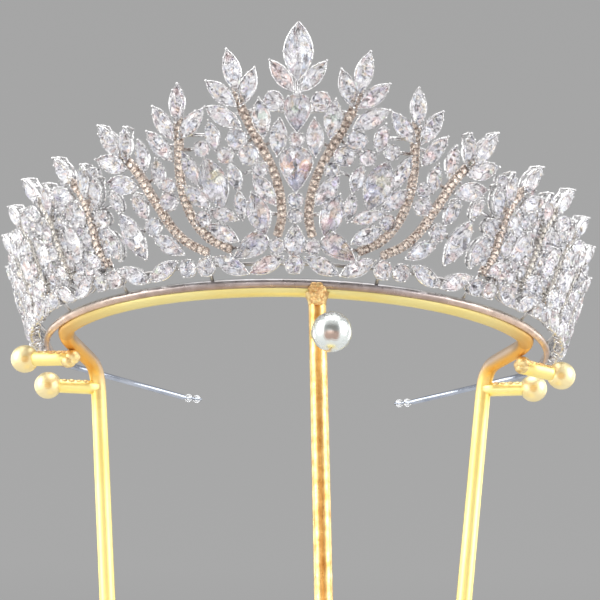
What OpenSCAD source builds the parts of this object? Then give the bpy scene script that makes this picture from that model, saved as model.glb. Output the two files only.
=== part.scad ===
// A bridal crown in stones and silver-white metal, resting on a plain gilt rod stand.
// The crown's front faces -Y, its axis is Z, and the origin is on the floor under that axis.

/* [Crown] */
// Height of the middle of the crown's band above the floor
band_z = 214.5; // [200:0.5:240]
// Radius inside the band
band_r = 77.7; // [77.7:0.1:78]
// Height of the band, a flat strip round on its outside
band_h = 2.5; // [2.2:0.1:2.8]
// Thickness of the band
band_t = 1.6; // [1.4:0.1:1.8]
// How far the stones run round from the front, each way, in degrees
stones_end = 100; // [98:1:104]
// How far the bare wire ends run round from the front, in degrees
wire_end = 148; // [145:1:150]
// Diameter of the bare wire ends
wire_d = 2; // [1.8:0.1:2.2]
// How far a bare wire rises to its end
wire_rise = 1.4; // [0:0.1:2]
// How far a bare wire bows upwards on its way
wire_bow = 2.2; // [0:0.1:3]
// Diameter of the clear beads on the wire ends
bead_d = 2.9; // [2.6:0.1:3]
// How far the wall of stones starts above the middle of the band
wall_rise = 1.5; // [1.4:0.1:2]
// Radius of the stones' girdles where the wall starts
wall_r = 83.8; // [83.4:0.1:84.4]
// How far the wall leans outwards, in degrees
flare = 22; // [20:1:24]
// Height of the lowest row of stones up the wall
row_h = 1.7; // [1.6:0.1:2]

/* [Stones] */
// A stone's table against its outline
table_share = 0.6; // [0.5:0.05:0.7]
// A stone's crown height against its width
crown_share = 0.22; // [0.18:0.01:0.26]
// A stone's pavilion depth against its width
pavilion_share = 0.4; // [0.3:0.01:0.42]
// The deepest pavilion
pavilion_max = 2.3; // [2:0.1:2.3]
// Gap between a stone and the metal that carries it
seat_gap = 0.15; // [0.1:0.01:0.2]
// Width of a line of small set stones
line_w = 2.4; // [2:0.1:2.4]

/* [Stand] */
// Diameter of the gilt rod
rod_d = 4.8; // [4.5:0.1:4.8]
// Radius of the ring that carries the crown
ring_r = 74.9; // [74.5:0.1:75]
// How far the ring's arc runs each way from the front, in degrees
ring_reach = 70; // [68:1:72]
// How far the front leg stands round from the middle, in degrees
front_turn = 4.6; // [0:0.1:5]
// Diameter of the gilt ball knobs
ball_d = 8.6; // [8:0.1:9]
// Diameter of the silver ball knob
front_ball_d = 10.2; // [9:0.1:11]
// Diameter of the base plate
base_d = 124; // [120:1:140]
// Thickness of the base plate
base_t = 3; // [3:0.5:5]

/* [Hidden] */
ROUND = 0;
MARQUISE = 1;
PEAR = 2;
SIDES = [["_left", -1], ["_right", 1]];

// Stones on the crown's middle line.
// Columns: name, angle from the front, height up the wall, length, width, lean, cut
MIDDLE_STONES = [
    ["top_marquise", 0, 56.4, 14.8, 7.1, 0, MARQUISE],
    ["upper_pear", 0, 40.8, 9.4, 6.9, 180, PEAR],
    ["neck_round", 0, 34.1, 3.6, 3.6, 0, ROUND],
    ["middle_pear", 0, 26.3, 11.6, 8.2, 180, PEAR],
    ["throat_round", 0, 18.4, 3.6, 3.6, 0, ROUND],
    ["lower_round", 0, 14.4, 3.6, 3.6, 0, ROUND],
    ["lower_pear", 0, 8.2, 8, 5.2, 0, PEAR],
    ["base_round", 0, row_h, 4.6, 4.6, 0, ROUND]
];

// Stones of the middle motif, one on each side. Lean is outwards from upright, to the point of a pear.
// Columns: name, angle, height, length, width, lean, cut
PAIRED_STONES = [
    ["crown_leaf", 2.3, 50.2, 9.6, 3.8, 38, MARQUISE],
    ["upper_round", 3.5, 43.8, 4.8, 4.8, 0, ROUND],
    ["collar_marquise", 5.4, 39.5, 9.8, 4.4, 6, MARQUISE],
    ["neck_marquise", 2.8, 34.6, 9.4, 4.2, -4, MARQUISE],
    ["sprig_middle", 9.5, 51.8, 11, 4.3, 12, MARQUISE],
    ["sprig_outer", 11.3, 46.2, 9.8, 4.1, 47, MARQUISE],
    ["sprig_inner", 7.3, 47.6, 9.8, 4, -22, MARQUISE],
    ["shoulder_leaf", 11.2, 40.3, 10.2, 4.4, 59, MARQUISE],
    ["line_round_upper", 9.3, 34.4, 5, 5, 0, ROUND],
    ["line_round_middle", 7.5, 30.2, 5, 5, 0, ROUND],
    ["line_round_lower", 5.65, 26.5, 3.7, 3.7, 0, ROUND],
    ["waist_marquise", 5.1, 21.1, 9.4, 4.2, 35, MARQUISE],
    ["hip_marquise", 6.1, 14.8, 11.2, 5.7, 17, MARQUISE],
    ["lying_pear", 7.7, 6.2, 10.1, 5.7, 122, PEAR],
    ["line_end_round", 3.05, 6.4, 3.7, 3.7, 0, ROUND],
    ["side_marquise", 13.4, 23.4, 13.6, 7.2, 17, MARQUISE]
];

// Stones of the first side motif and its sprig, and of the second with its own.
// Columns: angle, height, length, width, lean, cut
SIDE_STONES = [
    [17.15, 27.5, 9.3, 3.7, 22, MARQUISE],
    [16.5, 20.1, 8.6, 4, 46, MARQUISE],
    [9.9, 24.6, 7.4, 3.4, 16, MARQUISE],
    [13.1, 35.6, 7.4, 3.6, 10, MARQUISE],
    [11.2, 30.2, 4, 4, 0, ROUND],
    [15, 32.4, 3.8, 3.8, 0, ROUND],
    [9.1, 17.2, 7.2, 3.1, 7, MARQUISE],
    [12.2, 15, 8.4, 3.4, 70, MARQUISE],
    [12.4, 10.2, 9, 4, 59, MARQUISE],
    [15.8, 14.1, 4, 4, 0, ROUND],
    [18.3, 44.9, 9.4, 4.1, -8, MARQUISE],
    [20.9, 40.2, 10, 4.2, 27, MARQUISE],
    [16.4, 39.1, 9.6, 4.1, -46, MARQUISE],
    [22, 34.4, 10, 4.2, 36, MARQUISE],
    [22.9, 27.4, 7.2, 3.6, 1, MARQUISE],
    [25.4, 32.6, 8, 3.6, 4, MARQUISE],
    [21.3, 23.8, 3.6, 3.6, 0, ROUND],
    [21.6, 19.6, 4.6, 4.6, 0, ROUND],
    [29.9, 26, 10, 4.8, 73, MARQUISE],
    [27.2, 19.6, 7.6, 3.8, 22, MARQUISE],
    [29.6, 12, 14, 5.8, 24, MARQUISE],
    [25.2, 13.6, 4.4, 4.4, 0, ROUND],
    [22.7, 8.2, 9.6, 4, 55, MARQUISE],
    [31.1, 38.2, 10, 4.3, 27, MARQUISE],
    [31.3, 32.1, 10, 4.6, 66, MARQUISE],
    [28.1, 36.4, 8.6, 3.7, -8, MARQUISE],
    [34.3, 11, 9.6, 4, 18, MARQUISE],
    [35.8, 18.2, 4.6, 4.6, 0, ROUND],
    [36, 25.6, 8.2, 3.7, -12, MARQUISE]
];

// Stones of a smaller motif that repeats towards the ends, at full height.
// Columns: angle from the motif's foot, height, length, width, lean, cut, least and most height share that has it
FAN_STONES = [
    [-1.6, 30.3, 9, 3.9, -8, MARQUISE, 0, 1],
    [2.8, 35, 9.6, 4.2, 27, MARQUISE, 0, 1],
    [4.3, 28.7, 9.4, 4.4, 66, MARQUISE, 0.8, 1],
    [1, 22.2, 7.8, 3.9, 12, MARQUISE, 0.8, 1],
    [2.9, 25.2, 3.4, 3.4, 0, ROUND, 0.5, 0.8],
    [4.5, 15.8, 12.4, 5.4, 24, MARQUISE, 0, 1],
    [0.9, 14.4, 4.2, 4.2, 0, ROUND, 0, 1],
    [0.1, 8, 8.2, 3.4, 58, MARQUISE, 0.65, 1]
];

// The repeats of the smaller motif. Columns: angle of its foot, share of its height, share of its stones' size
FANS = [
    [39.6, 0.97, 0.97],
    [49.8, 0.93, 0.94],
    [58.7, 0.82, 0.86],
    [67.8, 0.69, 0.8],
    [76.8, 0.52, 0.7],
    [85.6, 0.36, 0.6]
];
fan_base = 4;

// One run of the row on the band, which repeats. Columns: angle in the run, length, width, lean, cut
ROW_RUN = [
    [4.9, 9.6, 4, 115, MARQUISE],
    [11.3, 9.6, 4.1, 62, MARQUISE],
    [16, 4.6, 4.6, 0, ROUND],
    [19.5, 4.4, 4.4, 0, ROUND]
];
ROW_PITCH = 19.6;
ROW_RUNS = 5;

// Lines of small set stones, from the foot up. Columns: angle, height
V_LINE = [[2.9, 9.6], [2.3, 13.5], [2.4, 18.5], [3.2, 24], [4.6, 29.5], [6.4, 35], [8.2, 41.6], [8.9, 46.6]];
SIDE_LINE = [[11.6, 6], [15, 9], [17.4, 13.6], [18.7, 19], [19.2, 25], [19.1, 30], [18.7, 35.6], [18.4, 40]];
OUTER_LINE = [[15.9, 5.6], [19.3, 8.6], [21.9, 13], [23.6, 18], [25.1, 22.6], [26.8, 28.4], [29.2, 33.6]];
FAN_LINE = [[-2.6, 6], [-1.4, 12], [-1.2, 19], [-0.4, 26], [1.2, 31]];

// Plain bars behind the middle motif. Columns: angle, height
COLLAR = [[8.2, 41.2], [4.2, 42], [0, 40.6]];
SPINE = [[0, 39.4], [0, 46], [0, 54]];

// Sections across and outwards: that of a line of stones, and that of a plain bar
LINE_SECTION = [[line_w / 2, -0.9], [-line_w / 2, -0.9], [0, -3.7]];
BAR_SECTION = [[0.9, -2.4], [-0.9, -2.4], [0, -3.7]];
tail_top = 2.7;
tail_back = 3.1;
seat_back = 3.3;
seat_share = 0.84;
keel_share = 0.5;

// The bare wires
wire_steps = 8;
bead_bore = 1.3;
bead_pitch = 2.4;
spigot = 5;
function wire_share(a) = max(0, (a - stones_end) / (wire_end - stones_end));
function wire_height(a) =
    let (t = wire_share(a))
    band_z + wire_rise * t + wire_bow * max(0, 4 * t * (1 - t));

// Angle a at height h up the wall, and a distance outwards from the girdles
function radius_at(h) = wall_r + h * sin(flare);
function wall_point(a, h, out = 0) =
    let (r = radius_at(h) + out * cos(flare))
    [r * sin(a), -r * cos(a), band_z + wall_rise + h * cos(flare) - out * sin(flare)];
function wall_normal(a) = [cos(flare) * sin(a), -cos(flare) * cos(a), -sin(flare)];
function unit(v) = v / norm(v);

// A curve through the points, with a stop halfway along each stretch
function through(p) = [
    for (i = [0:len(p) - 2])
        let (before = p[max(i - 1, 0)], after = p[min(i + 2, len(p) - 1)])
        each [p[i], (9 * (p[i] + p[i + 1]) - before - after) / 16],
    p[len(p) - 1]
];

// The place in a list that is nearest to angle a and height h
function nearest(places, a, h) =
    let (away = [for (p = places) norm([(p.x - a) * radius_at(h) * PI / 180, p.y - h])], least = min(away))
    [for (i = [0:len(places) - 1]) if (away[i] == least) places[i]][0];

function mirrored(line, side) = [for (p = line) [p.x * side, p.y]];
function fan_height(h, fan) = fan_base + (h - fan_base) * fan[1];
function fan_line(fan) = [for (p = FAN_LINE) [fan[0] + p.x * fan[2], fan_height(p.y, fan)]];
function fan_rows(fan) = [
    for (s = FAN_STONES)
        if (fan[1] >= s[6] && fan[1] <= s[7])
            [fan[0] + s[0] * fan[2], fan_height(s[1], fan), s[2] * fan[2], s[3] * fan[2], s[4], s[5]]
];
function row_rows() = [
    for (k = [0:ROW_RUNS - 1], s = ROW_RUN)
        if (s[0] + k * ROW_PITCH < stones_end)
            [s[0] + k * ROW_PITCH, row_h - 0.1, s[1], s[2], s[3], s[4]]
];
function without_name(s) = [for (i = [1:6]) s[i]];
function far_rows() = [for (fan = FANS) each fan_rows(fan)];
LINES = concat([through(V_LINE), through(SIDE_LINE), through(OUTER_LINE)], [for (fan = FANS) fan_line(fan)]);
function places(side) = [
    for (line = concat(LINES, [COLLAR, SPINE]), i = [1:len(line) - 1], t = [0.2, 0.5, 0.8])
        let (p = line[i - 1] * t + line[i] * (1 - t))
        [p.x * side, p.y]
];

// A stone's outline in n corners, with its point up
function outline(l, w, cut, n) = [
    for (i = [0:n - 1])
        let (t = 360 * i / n, across = cut == ROUND ? 1 : cut == MARQUISE ? abs(sin(t)) : sin(t / 2) / 0.77)
        [w / 2 * sin(t) * across, l / 2 * cos(t)]
];
function pavilion(w) = min(w * pavilion_share, pavilion_max);
function raised(p, share, z) = [for (q = p) [q.x * share, q.y * share, z]];

// A place on the wall: x across, y up and z outwards of the place at angle a and height h, turned by lean
function set_at(a, h, lean, p) =
    let (x = p.x * cos(lean) + p.y * sin(lean), y = p.y * cos(lean) - p.x * sin(lean))
    wall_point(a, h) + x * [cos(a), sin(a), 0] + y * [sin(flare) * sin(a), -sin(flare) * cos(a), cos(flare)]
        + p.z * wall_normal(a);
function all_set(s, side, points) = [for (p = points) set_at(s[0] * side, s[1], s[4] * side, p)];

// A convex solid round the points
module around(points) {
    hull() polyhedron(points = points, faces = [[for (i = [0:len(points) - 1]) i]]);
}

// A bar of one section through points, each with the direction that is outwards there
module bar(points, outs, section) {
    n = len(section);
    last = len(points) - 1;
    corners = [
        for (i = [0:last])
            let (across = unit(cross(points[min(i + 1, last)] - points[max(i - 1, 0)], outs[i])))
            for (s = section) points[i] + across * s.x + outs[i] * s.y
    ];
    walls = [for (i = [0:last - 1], j = [0:n - 1])
        [i * n + j, i * n + (j + 1) % n, (i + 1) * n + (j + 1) % n, (i + 1) * n + j]];
    first_end = [[for (j = [n - 1:-1:0]) j]];
    last_end = [[for (j = [0:n - 1]) last * n + j]];
    polyhedron(points = corners, faces = concat(first_end, walls, last_end));
}
module bar_along(line, section) {
    bar([for (p = line) wall_point(p.x, p.y)], [for (p = line) wall_normal(p.x)], section);
}

// A cut stone: table, crown facets, girdle and pavilion
module stone(s, side = 1, corners = 8) {
    edge = outline(s[2], s[3], s[5], corners);
    table = raised(edge, table_share, s[3] * crown_share);
    around(all_set(s, side, concat(table, raised(edge, 1, 0), [[0, 0, -pavilion(s[3])]])));
}

// Corners of the metal under a stone, which narrows to a keel
function seat(s, side) =
    let (l = s[2] * keel_share / 2)
    all_set(s, side, concat(
        raised(outline(s[2], s[3], s[5] == PEAR ? PEAR : MARQUISE, 4), seat_share, -pavilion(s[3]) - seat_gap),
        [[0, -l, -seat_back], [0, l, -seat_back]]
    ));
function tail(p) = [for (z = [-tail_top, -tail_back]) set_at(p.x, p.y, 0, [0, 0, z])];
function foot(a) = [
    for (x = [-0.6, 0.6], z = [-0.6, 0.6])
        [(band_r + 0.8) * sin(a) + x * cos(a), -(band_r + 0.8) * cos(a) + x * sin(a), band_z + z]
];

// Metal under a stone, drawn out to the nearest line
module bracket(s, side, ends = [1]) {
    tails = [for (end = ends) each tail(nearest(places(side * end), s[0] * side, s[1]))];
    around(concat(seat(s, side), tails));
}

module line_of_stones(line, side) {
    bar_along(mirrored(line, side), LINE_SECTION);
    start = mirrored([line[0] * 0.7 + line[1] * 0.3], side)[0];
    around(concat(tail(start), foot(line[0].x * side)));
}

// The strip under the stones, its bare ends, and the thin spigots that the beads sit on
function on_circle(a, z) = [(band_r + band_t / 2) * sin(a), -(band_r + band_t / 2) * cos(a), z];
module band() {
    section = [[0, -0.5], [0.55, -0.42], [1, -0.18], [1, 0.18], [0.55, 0.42], [0, 0.5]];
    translate([0, 0, band_z]) rotate_extrude(angle = 2 * stones_end, start = -90 - stones_end, $fn = 60)
        polygon([for (p = section) [band_r + p.x * band_t, p.y * band_h]]);
    for (side = [-1, 1]) {
        wire(side, stones_end - 2, wire_end, wire_d, 6);
        wire(side, wire_end - 1, wire_end + spigot, bead_bore - 0.3, 4);
    }
}
module wire(side, from, to, d, corners) {
    angles = [for (i = [0:wire_steps]) from + (to - from) * i / wire_steps];
    bar(
        [for (a = angles) on_circle(a * side, wire_height(a))],
        [for (a = angles) [sin(a * side), -cos(a * side), 0]],
        [for (i = [0:corners - 1]) d / 2 * [cos(360 * i / corners), sin(360 * i / corners)]]
    );
}

module crown_frame() {
    color("gainsboro") union() {
        band();
        bar_along(SPINE, BAR_SECTION);
        for (s = MIDDLE_STONES) {
            if (s[2] > 5) bracket(without_name(s), 1, [1, -1]);
            else around(concat(seat(without_name(s), 1), foot(0)));
        }
        for (side = [-1, 1]) {
            bar_along(mirrored(COLLAR, side), BAR_SECTION);
            for (line = LINES) line_of_stones(line, side);
            for (s = PAIRED_STONES) bracket(without_name(s), side);
            for (s = concat(SIDE_STONES, far_rows())) bracket(s, side);
            for (s = row_rows()) around(concat(seat(s, side), foot(s[0] * side)));
        }
    }
}

module main_stone(s, side = 1) {
    color("aliceblue") stone(without_name(s), side, 10);
}
module side_stones(side) {
    color("aliceblue") for (s = SIDE_STONES) stone(s, side);
}
module fan_stones(side) {
    color("aliceblue") for (s = far_rows()) stone(s, side);
}
module row_stones(side) {
    color("aliceblue") for (s = row_rows()) stone(s, side);
}
module end_beads(side) {
    color("aliceblue") for (k = [0, 1]) {
        a = (wire_end + 1.3 + k * bead_pitch) * side;
        translate(on_circle(a, wire_height(a * side))) rotate([0, 90, a]) difference() {
            sphere(d = bead_d, $fn = 32);
            cylinder(d = bead_bore, h = bead_d * 2, center = true, $fn = 24);
        }
    }
}

// The stand's places
ring_z = band_z - 0.4;
ring_end = [ring_r * sin(ring_reach), -ring_r * cos(ring_reach), ring_z];
front_top = [ring_r * sin(front_turn), -ring_r * cos(front_turn), ring_z];
front_foot = [14.4, -72, base_t / 2];
base_centre = [0, -30, 0];

// Each side was bent and welded by hand, so its places differ a little. x is outwards from the middle.
// Columns: leg's top, its foot, start of the upper arm, its ball, start of the lower arm, its ball
LEFT_PLACES = [
    [64.2, 6.5, band_z - 3], [41.3, 3, base_t / 2], [69, -17, band_z - 6], [83.9, -12, band_z - 5.3],
    [63.2, 6, band_z - 9.8], [79.1, 3, band_z - 10]
];
RIGHT_PLACES = [
    [60.9, 6.5, band_z - 0.5], [38, 3, base_t / 2], [68.7, -17, band_z - 5.7], [81.8, -12, band_z - 7.1],
    [59.9, 6, band_z - 7.8], [75.6, 3, band_z - 7.7]
];
front_pin = [6.5, -75, band_z - 13];
front_ball = [9.9, -93, band_z - 17.3];
pin_d = 4.4;
bend_d = 5.2;
weld_d = 6;
bore_gap = 0.1;
corner_cut = 4;

function place_of(side, k) = let (p = (side < 0 ? LEFT_PLACES : RIGHT_PLACES)[k]) [p.x * side, p.y, p.z];
function side_end(side) = [ring_end.x * side, ring_end.y, ring_end.z];

// A round rod from p to q, with round ends
module rod(p, q, d = rod_d) {
    v = q - p;
    translate(p) rotate([0, acos(v.z / norm(v)), atan2(v.y, v.x)]) cylinder(d = d, h = norm(v), $fn = 48);
}
module joint(p, d = rod_d) {
    translate(p) sphere(d = d + 0.2, $fn = 48);
}

// A bent rod through points, its inner corners cut off once
module bent_rod(p, d = rod_d) {
    stops = [
        p[0],
        for (i = [1:len(p) - 2]) each [
            p[i] + unit(p[i - 1] - p[i]) * corner_cut,
            p[i] + unit(p[i + 1] - p[i]) * corner_cut
        ],
        p[len(p) - 1]
    ];
    for (i = [0:len(stops) - 2]) {
        rod(stops[i], stops[i + 1], d);
        if (i > 0) joint(stops[i], d);
    }
}
function pin_end(p, ball, d) = ball - unit(ball - p) * d * 0.2;

module stand_frame() {
    color("gold") union() {
        translate([0, 0, ring_z]) rotate_extrude(angle = 2 * ring_reach, start = -90 - ring_reach, $fn = 96)
            translate([ring_r, 0]) circle(d = rod_d, $fn = 48);
        for (side = [-1, 1]) {
            joint(side_end(side), bend_d);
            bent_rod([side_end(side), place_of(side, 0), place_of(side, 1)]);
            joint(place_of(side, 2), weld_d);
            rod(place_of(side, 2), pin_end(place_of(side, 2), place_of(side, 3), ball_d), pin_d);
            rod(place_of(side, 4), pin_end(place_of(side, 4), place_of(side, 5), ball_d), pin_d);
        }
        rod(front_top, front_foot, rod_d - 0.2);
        rod(front_pin, pin_end(front_pin, front_ball, front_ball_d), pin_d);
        translate(base_centre) cylinder(d = base_d, h = base_t, $fn = 96);
    }
}

// A ball knob with the blind hole that its pin goes into
module knob(p, ball, d, tint) {
    v = p - ball;
    color(tint) translate(ball) rotate([0, acos(v.z / norm(v)), atan2(v.y, v.x)]) difference() {
        sphere(d = d, $fn = 64);
        translate([0, 0, d * 0.2 - 0.15]) cylinder(d = pin_d + 2 * bore_gap, h = d, $fn = 48);
    }
}

PAIRED_NAMES = [for (s = PAIRED_STONES, end = SIDES) str(s[0], end[0])];

crown_frame();
for (s = MIDDLE_STONES) main_stone(s);
for (s = PAIRED_STONES, end = SIDES) main_stone(s, end[1]);
for (end = SIDES) {
    side_stones(end[1]);
    fan_stones(end[1]);
    row_stones(end[1]);
    end_beads(end[1]);
    knob(place_of(end[1], 2), place_of(end[1], 3), ball_d, "gold");
    knob(place_of(end[1], 4), place_of(end[1], 5), ball_d, "gold");
}
stand_frame();
knob(front_pin, front_ball, front_ball_d, "silver");  // front_knob
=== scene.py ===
"""Looks of a bridal crown on its gilt rod stand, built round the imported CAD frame."""
import math

import bpy
import numpy as np
from mathutils import Matrix, Vector


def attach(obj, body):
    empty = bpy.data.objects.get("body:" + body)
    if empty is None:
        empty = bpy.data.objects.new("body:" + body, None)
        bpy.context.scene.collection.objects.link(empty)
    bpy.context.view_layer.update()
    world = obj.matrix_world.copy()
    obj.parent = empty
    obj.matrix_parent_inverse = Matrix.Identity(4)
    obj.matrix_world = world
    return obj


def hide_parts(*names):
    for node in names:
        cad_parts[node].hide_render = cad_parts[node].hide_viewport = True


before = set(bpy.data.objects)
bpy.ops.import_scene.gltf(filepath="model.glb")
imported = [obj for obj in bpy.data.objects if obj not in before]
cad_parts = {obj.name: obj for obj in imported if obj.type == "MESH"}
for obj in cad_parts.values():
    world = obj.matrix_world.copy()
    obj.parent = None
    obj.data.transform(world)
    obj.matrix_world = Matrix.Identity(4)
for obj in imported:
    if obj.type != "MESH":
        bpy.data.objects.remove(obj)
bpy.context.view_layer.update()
MM = 0.001
RNG = np.random.default_rng(7)

# Sizes in millimetres and degrees, as in the part's source
BAND_Z, BAND_R, BAND_H, BAND_T = 214.5, 77.7, 2.5, 1.6
STONES_END, WIRE_END, WIRE_D, WIRE_RISE, WIRE_BOW, SPIGOT_D = 100, 148, 2.0, 1.4, 2.2, 1
WALL_RISE, WALL_R, FLARE, ROW_H = 1.5, 83.8, math.radians(22), 1.7
ROUND, MARQUISE, PEAR = 0, 1, 2
SIDES = (("_left", -1), ("_right", 1))

# Stones that are nodes. Columns: name, angle from the front, height up the wall, length, width, turn, cut
MIDDLE_STONES = [
    ("top_marquise", 0, 56.4, 14.8, 7.1, 0, MARQUISE),
    ("upper_pear", 0, 40.8, 9.4, 6.9, 180, PEAR),
    ("neck_round", 0, 34.1, 3.6, 3.6, 0, ROUND),
    ("middle_pear", 0, 26.3, 11.6, 8.2, 180, PEAR),
    ("throat_round", 0, 18.4, 3.6, 3.6, 0, ROUND),
    ("lower_round", 0, 14.4, 3.6, 3.6, 0, ROUND),
    ("lower_pear", 0, 8.2, 8, 5.2, 0, PEAR),
    ("base_round", 0, ROW_H, 4.6, 4.6, 0, ROUND),
]
PAIRED_STONES = [
    ("crown_leaf", 2.3, 50.2, 9.6, 3.8, 38, MARQUISE),
    ("upper_round", 3.5, 43.8, 4.8, 4.8, 0, ROUND),
    ("collar_marquise", 5.4, 39.5, 9.8, 4.4, 6, MARQUISE),
    ("neck_marquise", 2.8, 34.6, 9.4, 4.2, -4, MARQUISE),
    ("sprig_middle", 9.5, 51.8, 11, 4.3, 12, MARQUISE),
    ("sprig_outer", 11.3, 46.2, 9.8, 4.1, 47, MARQUISE),
    ("sprig_inner", 7.3, 47.6, 9.8, 4, -22, MARQUISE),
    ("shoulder_leaf", 11.2, 40.3, 10.2, 4.4, 59, MARQUISE),
    ("line_round_upper", 9.3, 34.4, 5, 5, 0, ROUND),
    ("line_round_middle", 7.5, 30.2, 5, 5, 0, ROUND),
    ("line_round_lower", 5.65, 26.5, 3.7, 3.7, 0, ROUND),
    ("waist_marquise", 5.1, 21.1, 9.4, 4.2, 35, MARQUISE),
    ("hip_marquise", 6.1, 14.8, 11.2, 5.7, 17, MARQUISE),
    ("lying_pear", 7.7, 6.2, 10.1, 5.7, 122, PEAR),
    ("line_end_round", 3.05, 6.4, 3.7, 3.7, 0, ROUND),
    ("side_marquise", 13.4, 23.4, 13.6, 7.2, 17, MARQUISE),
]
# Stones of the side motif, with the same columns but no name
SIDE_STONES = [
    (17.15, 27.5, 9.3, 3.7, 22, MARQUISE), (16.5, 20.1, 8.6, 4, 46, MARQUISE),
    (9.9, 24.6, 7.4, 3.4, 16, MARQUISE), (13.1, 35.6, 7.4, 3.6, 10, MARQUISE), (11.2, 30.2, 4, 4, 0, ROUND),
    (15, 32.4, 3.8, 3.8, 0, ROUND), (9.1, 17.2, 7.2, 3.1, 7, MARQUISE), (12.2, 15, 8.4, 3.4, 70, MARQUISE),
    (12.4, 10.2, 9, 4, 59, MARQUISE), (15.8, 14.1, 4, 4, 0, ROUND), (18.3, 44.9, 9.4, 4.1, -8, MARQUISE),
    (20.9, 40.2, 10, 4.2, 27, MARQUISE), (16.4, 39.1, 9.6, 4.1, -46, MARQUISE),
    (22, 34.4, 10, 4.2, 36, MARQUISE), (22.9, 27.4, 7.2, 3.6, 1, MARQUISE),
    (25.4, 32.6, 8, 3.6, 4, MARQUISE), (21.3, 23.8, 3.6, 3.6, 0, ROUND), (21.6, 19.6, 4.6, 4.6, 0, ROUND),
    (29.9, 26, 10, 4.8, 73, MARQUISE), (27.2, 19.6, 7.6, 3.8, 22, MARQUISE),
    (29.6, 12, 14, 5.8, 24, MARQUISE), (25.2, 13.6, 4.4, 4.4, 0, ROUND), (22.7, 8.2, 9.6, 4, 55, MARQUISE),
    (31.1, 38.2, 10, 4.3, 27, MARQUISE), (31.3, 32.1, 10, 4.6, 66, MARQUISE),
    (28.1, 36.4, 8.6, 3.7, -8, MARQUISE), (34.3, 11, 9.6, 4, 18, MARQUISE),
    (35.8, 18.2, 4.6, 4.6, 0, ROUND), (36, 25.6, 8.2, 3.7, -12, MARQUISE),
]
# One fan. The last two columns limit the height share of the fans that have the stone
FAN_STONES = [
    (-1.6, 30.3, 9, 3.9, -8, MARQUISE, 0, 1), (2.8, 35, 9.6, 4.2, 27, MARQUISE, 0, 1),
    (4.3, 28.7, 9.4, 4.4, 66, MARQUISE, 0.8, 1), (1, 22.2, 7.8, 3.9, 12, MARQUISE, 0.8, 1),
    (2.9, 25.2, 3.4, 3.4, 0, ROUND, 0.5, 0.8), (4.5, 15.8, 12.4, 5.4, 24, MARQUISE, 0, 1),
    (0.9, 14.4, 4.2, 4.2, 0, ROUND, 0, 1), (0.1, 8, 8.2, 3.4, 58, MARQUISE, 0.65, 1),
]
# Angle of each fan, its height share and its width share
FANS = [
    (39.6, 0.97, 0.97), (49.8, 0.93, 0.94), (58.7, 0.82, 0.86),
    (67.8, 0.69, 0.8), (76.8, 0.52, 0.7), (85.6, 0.36, 0.6),
]
FAN_BASE = 4
# Leaves between the fans, finer than the source's, and three that stand alone
FILL_STONES = [
    (7.2, 22.6, 7, 3, 10, MARQUISE, 0.65, 1),
    (7.1, 9.6, 6.4, 2.9, -22, MARQUISE, 0.5, 1), (-1.9, 20.6, 5.8, 2.7, -16, MARQUISE, 0.65, 1),
]
LONE_LEAVES = [
    (91.5, 6.4, 5.2, 2.6, 10, MARQUISE), (93.6, 9, 4.6, 2.4, 12, MARQUISE), (32.2, 22, 6, 2.8, 24, MARQUISE),
]
# The row on the band repeats this run. Columns: angle, length, width, turn, cut
ROW_RUN = [
    (4.9, 9.6, 4, 115, MARQUISE), (11.3, 9.6, 4.1, 62, MARQUISE),
    (16, 4.6, 4.6, 0, ROUND), (19.5, 4.4, 4.4, 0, ROUND),
]
ROW_PITCH, ROW_RUNS = 19.6, 5
# Lines of small stones, then the wires behind the middle, as angle and height
V_LINE = [(2.9, 9.6), (2.3, 13.5), (2.4, 18.5), (3.2, 24), (4.6, 29.5), (6.4, 35), (8.2, 41.6), (8.9, 46.6)]
SIDE_LINE = [(11.6, 6), (15, 9), (17.4, 13.6), (18.7, 19), (19.2, 25), (19.1, 30), (18.7, 35.6), (18.4, 40)]
OUTER_LINE = [(15.9, 5.6), (19.3, 8.6), (21.9, 13), (23.6, 18), (25.1, 22.6), (26.8, 28.4), (29.2, 33.6)]
FAN_LINE = [(-2.6, 6), (-1.4, 12), (-1.2, 19), (-0.4, 26), (1.2, 31)]
COLLAR = [(8.2, 41.2), (4.2, 42), (0, 40.6)]
SPINE = [(0, 39.4), (0, 46), (0, 54)]
# Small round stones fill bare places: first, last and step of the grid, sizes, gap and upper edge
FILL_ANGLES, FILL_HEIGHTS = (36, 99, 0.4), (4.5, 40, 0.5)
FILL_LEAST, FILL_MOST, FILL_GAP, LINE_REACH = 1.9, 3.2, 0.1, 1.2
FILL_TOP, FILL_ENDS = 32, [(96, 10), (100, 5)]


def fan_height(h, fan):
    """A height in the fan's table, shrunk towards its base."""
    return FAN_BASE + (h - FAN_BASE) * fan[1]


def fan_rows(fan, table=FAN_STONES):
    """The stones of one fan, as rows of angle, height, length, width, turn and cut."""
    return [
        (fan[0] + s[0] * fan[2], fan_height(s[1], fan), s[2] * fan[2], s[3] * fan[2], s[4], s[5])
        for s in table if s[6] <= fan[1] <= s[7]
    ]


FAR_ROWS = [row for fan in FANS for row in fan_rows(fan)]
FAN_LINES = [[(fan[0] + a * fan[2], fan_height(h, fan)) for a, h in FAN_LINE] for fan in FANS]
LINES = [V_LINE, SIDE_LINE, OUTER_LINE] + FAN_LINES
ROW_ROWS = [
    (s[0] + k * ROW_PITCH, ROW_H - 0.1, s[1], s[2], s[3], s[4])
    for k in range(ROW_RUNS) for s in ROW_RUN if s[0] + k * ROW_PITCH < STONES_END
]


# Places on the wall
def wall_radius(h):
    return WALL_R + h * math.sin(FLARE)


def wall_gap(a, h, c, d):
    """Distance in millimetres between two places on the wall, (a, h) and (c, d)."""
    return np.hypot(np.radians(a - c) * wall_radius(h), h - d)


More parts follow.
